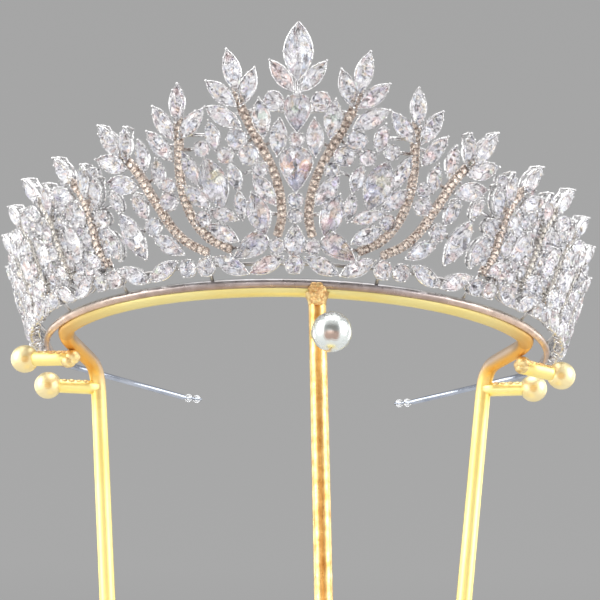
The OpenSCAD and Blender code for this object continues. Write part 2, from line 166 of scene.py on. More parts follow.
def wall_frame(angle, h):
    """Place at an angle in degrees and a height up the wall, and its axes: across, up, outwards."""
    a, r = math.radians(angle), wall_radius(h)
    place = np.array([r * math.sin(a), -r * math.cos(a), BAND_Z + WALL_RISE + h * math.cos(FLARE)])
    across = np.array([math.cos(a), math.sin(a), 0])
    up = np.array([math.sin(FLARE) * math.sin(a), -math.sin(FLARE) * math.cos(a), math.cos(FLARE)])
    return place, across, up, np.cross(across, up)


def stone_frame(row, side):
    """Origin and axes of a stone: its rows are across, along and outwards."""
    place, across, up, out = wall_frame(row[0] * side, row[1])
    lean = math.radians(row[4] * side)
    width_way = across * math.cos(lean) - up * math.sin(lean)
    length_way = across * math.sin(lean) + up * math.cos(lean)
    return place, np.array([width_way, length_way, out])


def on_wall(points, z, side):
    """Points given as angle and height, at a distance z outwards from the wall."""
    frames = [wall_frame(a * side, h) for a, h in points]
    return np.array([place + out * z for place, _, _, out in frames])


def on_circle(a, z, r=BAND_R + BAND_T / 2):
    """A point of a level circle round the crown's axis, the middle of the band if no radius is given."""
    t = math.radians(a)
    return np.array([r * math.sin(t), -r * math.cos(t), z])


def covered(rows):
    """Circles on the wall that cover these stones and the lines: angle, height, radius."""
    spots = []
    for s in rows:
        lean = math.radians(s[4])
        for t in (0,) if s[5] == ROUND else (-0.8, -0.4, 0, 0.4, 0.8):
            x, y = s[2] / 2 * t * math.sin(lean), s[2] / 2 * t * math.cos(lean)
            spots.append((s[0] + math.degrees(x / wall_radius(s[1])), s[1] + y, s[3] / 2 * (1 - t * t)))
    for line in LINES:
        for (a, h), (c, d) in zip(line[:-1], line[1:]):
            spots += [(a + (c - a) * t, h + (d - h) * t, LINE_REACH) for t in np.linspace(0, 1, 5)]
    return spots


def fill_rows():
    """Leaves between the fans, then small round stones wherever a place is still bare."""
    rows = [row for fan in FANS for row in fan_rows(fan, FILL_STONES)] + LONE_LEAVES
    a, h = np.meshgrid(np.arange(*FILL_ANGLES), np.arange(*FILL_HEIGHTS))
    tops = [(fan[0] + 3 * fan[2], fan_height(FILL_TOP, fan)) for fan in FANS] + FILL_ENDS
    top = np.interp(a, *zip(*tops))
    a, h = a[h < top], h[h < top]
    room = np.full(len(a), np.inf)
    for c, d, r in covered(SIDE_STONES + FAR_ROWS + ROW_ROWS + rows):
        room = np.minimum(room, wall_gap(a, h, c, d) - r)
    while room.max() > FILL_LEAST / 2:
        k = int(room.argmax())
        size = min(2 * room[k] - FILL_GAP, FILL_MOST)
        rows.append((a[k], h[k], size, size, 0, ROUND))
        room = np.minimum(room, wall_gap(a, h, a[k], h[k]) - size / 2 - FILL_GAP)
    return rows


FILL_ROWS = fill_rows()


# Curves and outlines
def unit(v):
    return np.asarray(v, float) / np.linalg.norm(v)


def turns(n, start=0):
    """Angles of n points round a full turn."""
    return 2 * math.pi * (np.arange(n) + start) / n


def sphere(polar, n):
    """Rings of n points on a sphere of radius 1, at the polar angles."""
    return [
        [math.sin(q) * math.cos(u), math.sin(q) * math.sin(u), math.cos(q)] for q in polar for u in turns(n)]


def through(points, steps=8):
    """A smooth curve through the points."""
    p = np.array(points, float)
    p = np.vstack([2 * p[0] - p[1], p, 2 * p[-1] - p[-2]])
    out = []
    for a, b, c, d in zip(p[:-3], p[1:-2], p[2:-1], p[3:]):
        for t in np.arange(steps) / steps:
            square, cube = 2 * a - 5 * b + 4 * c - d, 3 * b - a - 3 * c + d
            out.append(0.5 * (2 * b + (c - a) * t + square * t * t + cube * t ** 3))
    return np.array(out + [p[-2]])


def along(points, pitch):
    """Places a pitch apart on a path, from its start."""
    p = np.asarray(points, float)
    run = np.concatenate([[0], np.cumsum(np.linalg.norm(np.diff(p, axis=0), axis=1))])
    even = np.linspace(0, run[-1], max(1, round(run[-1] / pitch)) + 1)
    return np.stack([np.interp(even, run, p[:, k]) for k in range(p.shape[1])], 1)


def bend(a, corner, b, steps):
    """A curve from a to b that starts and ends in the directions of the corner."""
    return [(1 - t) ** 2 * a + 2 * t * (1 - t) * corner + t * t * b for t in np.linspace(0, 1, steps)]


def rounded(points, cut):
    """A path with its corners rounded, from a length cut before each of them to the same length after it."""
    p = [np.asarray(q, float) for q in points]
    out = [p[0]]
    for before, corner, after in zip(p[:-2], p[1:-1], p[2:]):
        out += bend(corner + unit(before - corner) * cut, corner, corner + unit(after - corner) * cut, 8)
    return out + [p[-1]]


def straight(a, b, step=3.0):
    """Points on a straight run, about a step apart."""
    a, b = np.asarray(a, float), np.asarray(b, float)
    count = max(2, int(np.linalg.norm(b - a) / step))
    return [a + (b - a) * t for t in np.linspace(0, 1, count)]


# The greatest value of sin(t) * sin(t / 2), so that a pear is as wide as its row says
PEAR_WIDEST = 0.77


def outline(length, width, cut, n, start=0):
    """Points round a stone. A round one is an ellipse, and the others narrow to one tip or two."""
    t = turns(n, start)
    share = {
        ROUND: np.ones(n),
        MARQUISE: np.abs(np.sin(t)),
        PEAR: np.sin((t % (2 * math.pi)) / 2) / PEAR_WIDEST,
    }[cut]
    return np.stack([width / 2 * np.sin(t) * share, length / 2 * np.cos(t)], 1)


# Mesh making
def add_object(name, data):
    obj = bpy.data.objects.new(name, data)
    bpy.context.scene.collection.objects.link(obj)
    return obj


class Piece:
    """Gathers solids into one mesh, in millimetres. Each face has a material, a tint and a shading."""

    def __init__(self, name, materials, slot):
        self.name, self.materials, self.slot = name, materials, slot
        self.points, self.faces, self.kinds, self.tints, self.smooths, self.count = [], [], [], [], [], 0

    def add(self, points, faces, kind=0, tint=(1, 1, 1), smooth=False):
        """Adds a solid, with one tint for all its faces or a list with one for each."""
        self.points.append(np.asarray(points, float))
        self.faces += [[int(k) + self.count for k in f] for f in faces]
        self.kinds += [kind] * len(faces)
        self.tints += tint if isinstance(tint, list) else [tint] * len(faces)
        self.smooths += [smooth] * len(faces)
        self.count += len(points)

    def finish(self, *nodes):
        mesh = bpy.data.meshes.new(self.name)
        mesh.from_pydata((np.vstack(self.points) * MM).tolist(), [], self.faces)
        for m in self.materials:
            mesh.materials.append(m)
        mesh.polygons.foreach_set("material_index", self.kinds)
        mesh.polygons.foreach_set("use_smooth", self.smooths)
        colours = mesh.color_attributes.new("tint", "FLOAT_COLOR", "CORNER")
        sizes = [len(f) for f in self.faces]
        tints = np.hstack([np.array(self.tints, float), np.ones((len(self.tints), 1))])
        colours.data.foreach_set("color", np.repeat(tints, sizes, axis=0).ravel())
        mesh.validate()
        obj = add_object(self.name, mesh)
        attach(obj, "root")
        if nodes:
            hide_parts(*nodes)


def rings_to_faces(rings, n, closed_path=False, caps=True):
    """Faces between rings of n points each, and at both ends unless the path is closed."""
    faces = []
    last = rings if closed_path else rings - 1
    for i in range(last):
        j = (i + 1) % rings
        faces += [[i * n + k, i * n + (k + 1) % n, j * n + (k + 1) % n, j * n + k] for k in range(n)]
    if caps and not closed_path:
        faces += [list(range(n - 1, -1, -1)), [(rings - 1) * n + k for k in range(n)]]
    return faces


# A direction that no wire follows
ASKEW = [0.31, 0.22, 0.93]


def tube(piece, path, radius, n=8, kind=0, closed=False, tint=(1, 1, 1)):
    """A round wire along a path. The radius may be one value or a list, and the tint a function."""
    p = np.asarray(path, float)
    if closed:
        ahead, behind = np.roll(p, -1, 0), np.roll(p, 1, 0)
    else:
        ahead, behind = np.vstack([p[1:], p[-1:]]), np.vstack([p[:1], p[:-1]])
    tangent = ahead - behind
    tangent /= np.linalg.norm(tangent, axis=1)[:, None]
    side = np.cross(tangent[0], ASKEW)
    radii = np.broadcast_to(np.asarray(radius, float), (len(p),))
    t = turns(n)
    rings = []
    for centre, forward, r in zip(p, tangent, radii):
        side = unit(side - forward * np.dot(side, forward))
        other = np.cross(forward, side)
        rings.append(centre + r * (np.cos(t)[:, None] * side + np.sin(t)[:, None] * other))
    points = np.vstack(rings)
    faces = rings_to_faces(len(p), n, closed)
    if callable(tint):
        tint = [tint(points[f].mean(0), points[f].mean(0) - p[min(f[0] // n, len(p) - 1)]) for f in faces]
    piece.add(points, faces, kind, tint, True)


def ball(piece, centre, radius, axes=None, n=8, m=5, kind=0, tint=(1, 1, 1), stretch=(1, 1, 1)):
    """A small round bead, with n sides and m steps from pole to pole."""
    axes = np.eye(3) if axes is None else np.asarray(axes)
    points = [[0, 0, 1]] + sphere(math.pi * np.arange(1, m) / m, n) + [[0, 0, -1]]
    points = np.array(points, float) * radius * np.asarray(stretch)
    faces = [[0, 1 + k, 1 + (k + 1) % n] for k in range(n)]
    for i in range(m - 2):
        a, b = 1 + i * n, 1 + (i + 1) * n
        faces += [[a + k, b + k, b + (k + 1) % n, a + (k + 1) % n] for k in range(n)]
    a, end = 1 + (m - 2) * n, 1 + (m - 1) * n
    faces += [[a + k, end, a + (k + 1) % n] for k in range(n)]
    piece.add(np.asarray(centre) + points @ axes, faces, kind, tint, True)


def loop(piece, place, axes, points, z_low, z_high, inner, outer):
    """A flat rail that follows a stone's outline, with a softened upper edge."""
    ahead, behind = np.roll(points, -1, 0), np.roll(points, 1, 0)
    t = ahead - behind
    t /= np.linalg.norm(t, axis=1)[:, None]
    normal = np.stack([-t[:, 1], t[:, 0]], 1)
    if np.sum(normal * points) < 0:
        normal = -normal
    soft = min(0.12, (z_high - z_low) / 3)
    section = [
        (inner, z_low), (outer, z_low), (outer, z_high - soft), (outer - soft, z_high), (inner, z_high)]
    rings = [[p[0] + q[0] * s, p[1] + q[1] * s, z] for p, q in zip(points, normal) for s, z in section]
    faces = rings_to_faces(len(points), len(section), closed_path=True)
    piece.add(place + np.array(rings) @ axes, faces)


# Cut stones. Tints of the facets behind the glass, each with its share. Their spread of white, grey, dark and
# pastel is painted sparkle: reflections and fire painted into the foil
FACET_TINTS = [
    ((1, 0.98, 1), 0.44), ((0.86, 0.84, 0.87), 0.24), ((0.68, 0.66, 0.69), 0.11),
    ((0.42, 0.4, 0.43), 0.03), ((0.86, 0.9, 1), 0.05), ((1, 0.84, 0.8), 0.05),
    ((1, 0.88, 0.76), 0.04), ((0.93, 1, 0.86), 0.01), ((0.9, 0.84, 1), 0.03),
]
# Tints of the champagne facets, each with its share: the champagne is the stones' own colour, the near-white
# share is painted sparkle and the dark brown share painted reflection of warm surroundings
WARM_TINTS = [
    ((1, 0.88, 0.81), 0.46), ((0.8, 0.64, 0.55), 0.18), ((1, 0.97, 0.93), 0.2), ((0.15, 0.1, 0.08), 0.16),
]
# Painted reflections inside the named stones, as coloured patches. Columns: share of the width, of the
# length, reach, tint
PAINTED_REFLECTIONS = {
    "middle_pear": [(-0.28, -0.1, 0.12, (1, 0.76, 0.66)), (0.28, -0.1, 0.12, (1, 0.76, 0.66)),
                    (0, 0.3, 0.18, (0.88, 0.86, 0.95))],
    "upper_pear": [(0.05, -0.12, 0.1, (0.93, 1.0, 0.9)), (-0.1, 0.2, 0.18, (0.92, 0.9, 0.98))],
    "hip_marquise": [(0.05, 0.04, 0.1, (1.0, 0.86, 0.78)), (0.08, -0.14, 0.09, (0.92, 0.88, 1.0))],
    "side_marquise": [(0.08, 0.1, 0.12, (1.0, 0.97, 0.88)), (-0.1, -0.12, 0.12, (0.92, 0.9, 0.98))],
    "lying_pear": [(0.1, -0.1, 0.12, (0.92, 0.88, 0.98)), (-0.05, 0.18, 0.1, (1.0, 0.93, 0.86))],
    "collar_marquise": [(0.05, 0.05, 0.1, (0.92, 1.0, 0.96)), (0, -0.12, 0.08, (1.0, 0.92, 0.86))],
    "neck_marquise": [(0.05, 0.0, 0.1, (1.0, 0.89, 0.85))],
}

# What a stone gains on the source's, its girdle, its crown and depth as shares of its width, and its levels
SPREAD, GIRDLE, CROWN, DEPTH, DEEPEST, UNEVEN = 0.3, 0.16, 0.22, 0.4, 2.3, 0.05
TABLE, STAR, STAR_HEIGHT, LEVELS = 0.58, 0.79, 0.62, (1, 0.74, 0.46, 0.2)


def facet_tints(count, table):
    """Random tints for the facets, in the table's shares."""
    shares = np.array([c[1] for c in table])
    chosen = RNG.choice(len(table), count, p=shares / sum(shares))
    return [tuple(table[k][0]) for k in chosen]


def glass_crown(piece, place, axes, length, width, cut, n, crown):
    """The clear upper side: table, stars, kites, upper halves and girdle."""
    k = n // 2
    edge = outline(length, width, cut, n)
    levels = ((edge[::2] * TABLE, crown), (edge[1::2] * STAR, crown * STAR_HEIGHT),
              (edge, GIRDLE / 2), (edge, -GIRDLE / 2))
    points = np.vstack([np.column_stack([ring, np.full(len(ring), z)]) for ring, z in levels])
    stars, upper, lower = k, 2 * k, 2 * k + n
    faces = [list(range(k - 1, -1, -1))]
    for j in range(k):
        after, before = (j + 1) % k, (j - 1) % k
        tip, middle, next_tip = (upper + (2 * j + i) % n for i in range(3))
        faces += [[j, after, stars + j], [j, stars + j, tip], [j, tip, stars + before],
                  [stars + j, middle, tip], [stars + j, next_tip, middle]]
    faces += [[upper + i, upper + (i + 1) % n, lower + (i + 1) % n, lower + i] for i in range(n)]
    piece.add(place + points @ axes, faces)


def ring_faces(a, b, m):
    """Triangles between two rings of m points, which start at the points a and b."""
    pairs = [(i, (i + 1) % m) for i in range(m)]
    return [f for i, j in pairs for f in ([a + i, a + j, b + i], [a + j, b + j, b + i])]


def foil_pavilion(length, width, cut, n, depth):
    """Points and faces of the lower side: four rings of small uneven facets, down to a point."""
    k = n // 2
    counts, rings = [n, n, k, k], []
    for level, share in enumerate(LEVELS):
        m = counts[level]
        ring = outline(length, width, cut, m, 0.5 if level % 2 else 0) * share
        z = -GIRDLE / 2 - depth * (1 - share) ** 0.9
        jitter = UNEVEN * width * (level > 0)
        shifts = RNG.normal(0, 1, (m, 3)) * [jitter * 0.4, jitter * 0.4, jitter]
        rings.append(np.column_stack([ring, np.full(m, z)]) + shifts)
    points = np.vstack(rings + [[[0, 0, -GIRDLE / 2 - depth]]])
    faces = ring_faces(0, n, n)
    for i in range(k):
        p, q, r = (n + (2 * i + j) % n for j in range(3))
        inner, after = 2 * n + i, 2 * n + (i + 1) % k
        faces += [[p, q, inner], [q, r, inner], [r, after, inner]]
    faces += ring_faces(2 * n, 2 * n + k, k)
    last, point = 2 * n + k, 2 * n + 2 * k
    faces += [[last + i, last + (i + 1) % k, point] for i in range(k)]
    return points, faces


def cut_stone(piece, place, axes, length, width, cut, n=16, tints=FACET_TINTS, crown=None, depth=None,
              painted_reflections=()):
    """A brilliant-cut stone: a clear crown, and under it a pavilion of foil facets with a tint for each,
    which is painted sparkle, and patches of painted reflection where given.
    """
    length, width = length + SPREAD, width + SPREAD
    glass_crown(piece, place, axes, length, width, cut, n, crown or width * CROWN)
    points, faces = foil_pavilion(length, width, cut, n, depth or min(width * DEPTH, DEEPEST))
    shades = facet_tints(len(faces), tints)
    for x, y, reach, colour in painted_reflections:
        for i, f in enumerate(faces):
            middle = points[f].mean(0)
            if math.hypot(middle[0] - x * width, middle[1] - y * length) < reach * length:
                shades[i] = tuple(np.array(colour) * (0.84 + 0.16 * shades[i][1]))
    piece.add(place + points @ axes, faces, 1, shades)


# Turns of the prongs for the small and the big stones of each cut
BIG_WIDTH, BIG_ROUND, GIRDLE_RAIL = 6.5, 4.3, (-0.75, -0.04, 0.06, 0.34)
PRONGS = {
    ROUND: ([45, 135, 225, 315], [30, 90, 150, 210, 270, 330]),
    MARQUISE: ([0, 180, 48, 132, 228, 312], [40, 90, 144, 216, 270, 320]),
    PEAR: ([0, 60, 130, 230, 300], [0, 48, 95, 150, 210, 265, 312]),
}


def setting(piece, place, axes, length, width, cut, deep, back):
    """The open basket of a stone: a thin rail at the girdle, a rail behind, and prongs with a bead each."""
    big, pointed = width > BIG_WIDTH, cut != ROUND
    loop(piece, place, axes, outline(length, width, cut, 28 if big else 20), *GIRDLE_RAIL)
    small = outline(length * (back if pointed else back * 0.9), width * back * 0.88, cut, 20)
    loop(piece, place, axes, small, -deep, -deep + 0.5, -0.3, 0.14)
    many = big if pointed else width >= BIG_ROUND
    r = min(0.34, 0.17 + width * 0.03)
    for t in PRONGS[cut][many]:
        p = outline(length, width, cut, 1, t / 360)[0]
        tip_prong = pointed and t % 180 == 0
        reach = (np.linalg.norm(p) + (0.5 if tip_prong else 0.3)) / np.linalg.norm(p)
        foot = np.array([p[0] * back * 0.9, p[1] * back, -deep + 0.3])
        knee = np.array([p[0] * reach, p[1] * reach, -0.6])
        tip = np.array([p[0] * (reach - 0.03), p[1] * (reach - 0.03), 0.12])
        tube(piece, place + np.array([foot, knee, tip]) @ axes, [r * 0.7, r * 0.8, r * 0.9], 6)
        ball(piece, place + (tip + [0, 0, 0.03]) @ axes, r * (1.3 if tip_prong else 1.1), axes)


def tip_loop(piece, place, axes, length):
    """The open wire diamond behind the tip of a stone that is seen from the side."""
    y, high, deep = length / 2, 2.8, 4.4
    corners = [
        (0, y + 0.3, -0.2), (0, y + 0.45, -1.6), (0, y - 0.1, -deep),
        (0, y - high, -deep + 0.3), (0, y - high - 0.2, -1.4),
    ]
    tube(piece, place + np.array(corners) @ axes, 0.36, 6, closed=True)


# Materials
def material(name, **values):
    m = bpy.data.materials.new(name)
    m.use_nodes = True
    shader = m.node_tree.nodes["Principled BSDF"]
    for key, value in values.items():
        shader.inputs[key.replace("_", " ")].default_value = value
    return m, m.node_tree, shader


def node(tree, kind, **values):
    """A shader node. A value sets the attribute of its name, or else the input."""
    n = tree.nodes.new(kind)
    for key, value in values.items():
        if hasattr(n, key):
            setattr(n, key, value)
        else:
            n.inputs[key.replace("_", " ")].default_value = value
    return n


def ramp(tree, source, *stops):
    """A colour ramp. Each stop is a position, and a grey value or a colour."""
    n = tree.nodes.new("ShaderNodeValToRGB")
    for position, value in stops[1:-1]:
        n.color_ramp.elements.new(position)
    for element, (position, value) in zip(n.color_ramp.elements, stops):
        element.position = position
        element.color = (value, value, value, 1) if isinstance(value, (int, float)) else (*value, 1)
    tree.links.new(source, n.inputs["Fac"])
    return n.outputs["Color"]


def object_place(tree):
    return node(tree, "ShaderNodeTexCoord").outputs["Object"]


def tint_layer(tree):
    return node(tree, "ShaderNodeVertexColor", layer_name="tint").outputs["Color"]


def noise(tree, scale, detail=4, rough=0.5, stretch=None):
    """Clouds over the object's own coordinates."""
    vector = object_place(tree)
    if stretch:
        mapping = node(tree, "ShaderNodeMapping", Scale=stretch)
        tree.links.new(vector, mapping.inputs["Vector"])
        vector = mapping.outputs["Vector"]
    n = node(tree, "ShaderNodeTexNoise", Scale=scale, Detail=detail, Roughness=rough)
    tree.links.new(vector, n.inputs["Vector"])
    return n.outputs["Fac"]


def cells(tree, scale, **values):
    n = node(tree, "ShaderNodeTexVoronoi", Scale=scale, Randomness=1, **values)
    tree.links.new(object_place(tree), n.inputs["Vector"])
    return n


def multiply(tree, first, second, share=1):
    """Two colours multiplied, with a share for how much the second one counts."""
    mix = node(tree, "ShaderNodeMix", data_type="RGBA", blend_type="MULTIPLY", Factor=share)
    tree.links.new(first, mix.inputs["A"])
    tree.links.new(second, mix.inputs["B"])
    return mix.outputs["Result"]


def bump(tree, shader, source, strength, distance, before=None):
    b = node(tree, "ShaderNodeBump", Strength=strength, Distance=distance)
    tree.links.new(source, b.inputs["Height"])
    if before:
        tree.links.new(before.outputs["Normal"], b.inputs["Normal"])
    tree.links.new(b.outputs["Normal"], shader.inputs["Normal"])
    return b


def glass(name, tint, grain=900, relief=0):
    """Clear glass with faint scuffs."""
    m, tree, shader = material(name, Base_Color=(*tint, 1), Roughness=0.0, IOR=1.38, Transmission_Weight=1.0)
    scuffs = noise(tree, grain, 2)
    tree.links.new(ramp(tree, scuffs, (0.55, 0.0), (0.75, 0.05)), shader.inputs["Roughness"])
    if relief:
        bump(tree, shader, scuffs, relief, 0.0003)
    return m


def foil(name, speckle, pastel, dark, shine=0.45, relief=0.55, light=1):
    """Facets behind the glass, all painted sparkle: a tint for each, small lighter and darker cells with
    painted glints along their edges, and faint rainbow patches of painted fire.
    """
    m, tree, shader = material(name, Metallic=shine, Roughness=0.2)
    patches = cells(tree, speckle)
    grey = node(tree, "ShaderNodeSeparateColor")
    tree.links.new(patches.outputs["Color"], grey.inputs["Color"])
    shade = ramp(tree, grey.outputs[0], (0, dark * 0.9), (0.14, dark * 1.4), (0.28, 0.8 * light),
                 (0.5, 0.95 * light), (0.7, light))
    edges = cells(tree, speckle, feature="DISTANCE_TO_EDGE")
    bright = ramp(tree, edges.outputs["Distance"], (0, 1.4), (0.12, 1))
    rainbow = ramp(tree, noise(tree, 330, 1), (0.32, (1, 0.84, 0.82)), (0.41, (1, 1, 1)), (0.52, (1, 1, 1)),
                   (0.6, (0.85, 0.9, 1)), (0.66, (1, 0.96, 0.82)), (0.74, (0.9, 0.85, 1)))
    colour = tint_layer(tree)
    for value, share in ((shade, 1), (bright, 1), (rainbow, pastel)):
        colour = multiply(tree, colour, value, share)
    tree.links.new(colour, shader.inputs["Base Color"])
    bump(tree, shader, patches.outputs["Distance"], relief, 0.0003)
    return m


def metal(name, colour, dark, rough, grain, pits=0, stretch=None):
    """Polished metal with a slight cloud in its colour, uneven polish, fine scratches and casting pits."""
    m, tree, shader = material(name, Metallic=1)
    cloud = ramp(tree, noise(tree, grain * 0.35, 3), (0.3, dark), (0.68, colour))
    tree.links.new(multiply(tree, cloud, tint_layer(tree)), shader.inputs["Base Color"])
    polish = noise(tree, grain, 6, 0.65, stretch)
    tree.links.new(ramp(tree, polish, (0.35, rough[0]), (0.7, rough[1])), shader.inputs["Roughness"])
    scratches = bump(tree, shader, polish, 0.12, 0.0002)
    if pits:
        holes = ramp(tree, noise(tree, grain * 2.4, 2, 0.6), (0.28, 0), (0.36, 1))
        bump(tree, shader, holes, pits, 0.0004, scratches)
    return m


def bead_glass():
    """Clear crystal with a faint haze."""
    m, tree, shader = material(
        "clear_bead", Base_Color=(0.97, 0.98, 1, 1), Roughness=0.02, IOR=1.55, Transmission_Weight=1)
    haze = ramp(tree, noise(tree, 600, 2), (0.5, 0), (0.8, 0.06))
    tree.links.new(haze, shader.inputs["Roughness"])
    return m


def floor_paint():
    """Pale matt grey with a very slight cloud."""
    m, tree, shader = material("floor", Base_Color=(0.62, 0.62, 0.62, 1), Roughness=0.75)
    tree.links.new(ramp(tree, noise(tree, 40, 4), (0.3, 0.6), (0.7, 0.63)), shader.inputs["Base Color"])
    return m


STONE = glass("clear_stone", (1, 1, 1))
FOIL = foil("stone_foil", 2000, 0.8, 0.36)
LARGE_FOIL = foil("large_stone_foil", 1900, 0.9, 0.42, shine=0.5, relief=0.5, light=0.87)
WARM = glass("champagne_stone", (1, 0.96, 0.92), grain=2800, relief=1)
WARM_FOIL = foil("champagne_foil", 3000, 0.3, 0.12, shine=0.5, relief=0.7)
WHITE = metal("white_metal", (0.97, 0.96, 0.96), (0.4, 0.39, 0.4), (0.15, 0.32), 5200, 0.3)
# The dark clouds of the cup metals are painted shade between the links of the lines and painted specks of
# reflection
CUPS = metal("cup_metal", (1, 0.9, 0.83), (0.22, 0.15, 0.12), (0.2, 0.4), 4200, 0.5)
PALE_CUPS = metal("pale_cup_metal", (0.93, 0.9, 0.86), (0.4, 0.36, 0.32), (0.2, 0.4), 4200, 0.5)
BAND = metal("band_metal", (0.95, 0.9, 0.78), (0.62, 0.57, 0.48), (0.25, 0.42), 700, 0.35)
# The bare wires' dark blue-grey is painted reflection: dark surroundings seen in the polished wire
WIRE = metal("wire_metal", (0.5, 0.53, 0.6), (0.3, 0.33, 0.4), (0.1, 0.22), 300, 0.1)
GILT = metal("gilt", (0.95, 0.81, 0.34), (0.93, 0.74, 0.26), (0.4, 0.5), 120, 0, (1, 1, 0.25))
# The front leg's gilt: brown mottle and pits of wear, and its faces also carry a painted reflection stripe
# down the front
WORN_GILT_AND_PAINTED_STRIPE = metal("gilt_worn_and_painted_stripe", (0.97, 0.77, 0.35), (0.66, 0.38, 0.12), (0.26, 0.42), 1100, 0.5, (1, 1, 0.3))
KNOBS = metal("gilt_ball", (0.89, 0.77, 0.46), (0.83, 0.67, 0.35), (0.42, 0.5), 200, 0.1)
SOLDER = metal("solder", (0.96, 0.78, 0.4), (0.5, 0.31, 0.13), (0.35, 0.55), 1500, 0.7)
SILVER = metal("silver_ball", (0.76, 0.79, 0.77), (0.68, 0.71, 0.69), (0.24, 0.32), 160)

# Stones. The small ones between the others lie a little deeper
LARGE_WIDTH, FINE_WIDTH, SMALL_DROP = 5.5, 5, 0.5


def main_stone(row, end, side):
    """A stone with a node of its own. The wider ones have more facets, and the widest a calmer foil."""
    name, length, width, cut = row[0], row[3], row[4], row[6]
    piece = Piece(name + end + "_cut", [STONE, LARGE_FOIL if width > LARGE_WIDTH else FOIL], "clear_stone")
    facets = 24 if width > FINE_WIDTH else 16
    cut_stone(piece, *stone_frame(row[1:], side), length, width, cut, facets, painted_reflections=PAINTED_REFLECTIONS.get(name, ()))
    piece.finish(name + end)


def stone_field(name, rows, side, facets=16, drop=0):
    """Many loose stones as one piece."""
    piece = Piece(name, [STONE, FOIL], "clear_stone")
    for s in rows:
        place, axes = stone_frame(s, side)
        cut_stone(piece, place - axes[2] * drop, axes, s[2], s[3], s[5], facets)
    return piece


for row in MIDDLE_STONES:
    main_stone(row, "", 1)
for row in PAIRED_STONES:
    for end, side in SIDES:
        main_stone(row, end, side)
for name, rows in (("side_stones", SIDE_STONES), ("fan_stones", FAR_ROWS), ("row_stones", ROW_ROWS)):
    for end, side in SIDES:
        stone_field(name + end + "_cut", rows, side).finish(name + end)
for end, side in SIDES:
    stone_field("small_stones" + end, FILL_ROWS, side, 12, SMALL_DROP).finish()

# Settings. Depth and inner share of the baskets in front, and of those past an angle
FRONT_BASKET, SIDE_BASKET, SIDE_FROM = (2.7, 0.62), (3.3, 0.84), 30
TIPS_FROM, TIPS_ABOVE, TIPS_LEAN = 27, 15, 40


def settings(name, rows, side, drop=0):
    """The baskets of a group of stones as one piece, with the tip loops of its high upright leaves."""
    piece = Piece(name, [WHITE], "white_metal")
    for s in rows:
        place, axes = stone_frame(s, side)
        place = place - axes[2] * drop
        deep, back = SIDE_BASKET if s[0] > SIDE_FROM else FRONT_BASKET
        setting(piece, place, axes, s[2], s[3], s[5], deep - drop, back)
        if s[0] > TIPS_FROM and s[1] > TIPS_ABOVE and s[5] == MARQUISE and abs(s[4]) < TIPS_LEAN:
            tip_loop(piece, place, axes, s[2])
    return piece


MAIN_ROWS = [s[1:] for s in PAIRED_STONES]
for end, side in SIDES:
    for name, rows in (("main", MAIN_ROWS), ("side", SIDE_STONES), ("fan", FAR_ROWS), ("row", ROW_ROWS)):
        settings(name + "_settings" + end, rows, side).finish()
    settings("small_settings" + end, FILL_ROWS, side, SMALL_DROP).finish()
settings("middle_settings", [s[1:] for s in MIDDLE_STONES], 1).finish("crown_frame")

# Lines of small stones, which turn from champagne to clear at an angle
LINK_PITCH, LINK_W, LINK_STONE, LINK_DROP, LINK_BACK, PALE_FROM = 1.7, 2.5, 1.6, 0.3, -2.3, 44
# A link's cup from its foot to its hollow: share of its full size, and place outwards
CUP_PROFILE = ((0.66, LINK_BACK), (0.82, -1.2), (1, -0.5), (0.97, -0.38), (0.8, -0.5))


def cup(piece, place, axes, kind):
    """One link of a line: a square cup, and the two beads beside it that it shares with the next link."""
    n = 16
    t = turns(n, 0.5)
    x, y = (np.sign(f(t)) * np.abs(f(t)) ** 0.55 for f in (np.cos, np.sin))
    x, y = x * LINK_W / 2, y * LINK_PITCH * 0.46
    rings = [np.column_stack([share * x, share * y, np.full(n, z)]) for share, z in CUP_PROFILE]
    piece.add(place + np.vstack(rings) @ axes, rings_to_faces(len(rings), n), kind)
    for u in (-1, 1):
        bead = np.array([u * LINK_W * 0.4, LINK_PITCH / 2, -0.22])
        ball(piece, place + bead @ axes, 0.3, axes, kind=kind, stretch=(1, 0.9, 1))


def link_frame(path, i):
    """Angle of a link from the front, and its axes: across the line, along it and outwards."""
    angle = math.degrees(math.atan2(path[i, 0], -path[i, 1]))
    out = wall_frame(angle, 0)[3]
    ahead = path[min(i + 1, len(path) - 1)] - path[max(i - 1, 0)]
    ahead = unit(ahead - out * np.dot(ahead, out))
    return angle, np.array([np.cross(ahead, out), ahead, out])


def stone_lines(end, side):
    """Every line of one side: links, their stones, and the wire that carries them."""
    stones = Piece("line_stones" + end, [WARM, WARM_FOIL], "clear_stone")
    links = Piece("line_metal" + end, [CUPS, PALE_CUPS], "white_metal")
    for line in LINES:
        path = along(on_wall(through(line), 0, side), LINK_PITCH)
        for i, p in enumerate(path):
            angle, axes = link_frame(path, i)
            pale = abs(angle) > PALE_FROM
            cut_stone(stones, p - axes[2] * LINK_DROP, axes, LINK_STONE - 0.3, LINK_STONE - 0.1, ROUND, 12,
                      FACET_TINTS if pale else WARM_TINTS, crown=0.3, depth=0.9)
            cup(links, p, axes, int(pale))
        tube(links, on_wall(through(line), LINK_BACK, side), 0.75)
    links.finish("crown_frame")
    stones.finish()


for end, side in SIDES:
    stone_lines(end, side)

# Wires behind the stones, posts on the band, the band and its bare ends
BACK, POST_TOP = -2.9, -2.4
# Painted shade on the posts and the rail behind the row, as dark as the front of the band
POST_PAINTED_SHADE = (0.55, 0.56, 0.64)


def post(piece, a, h):
    """A short post from a stone's basket down to the band."""
    top, foot = on_wall([(a, h)], POST_TOP, 1)[0], on_circle(a, BAND_Z + 0.5)
    tube(piece, [foot, (foot + top) / 2, top], 0.5, kind=1, tint=POST_PAINTED_SHADE)


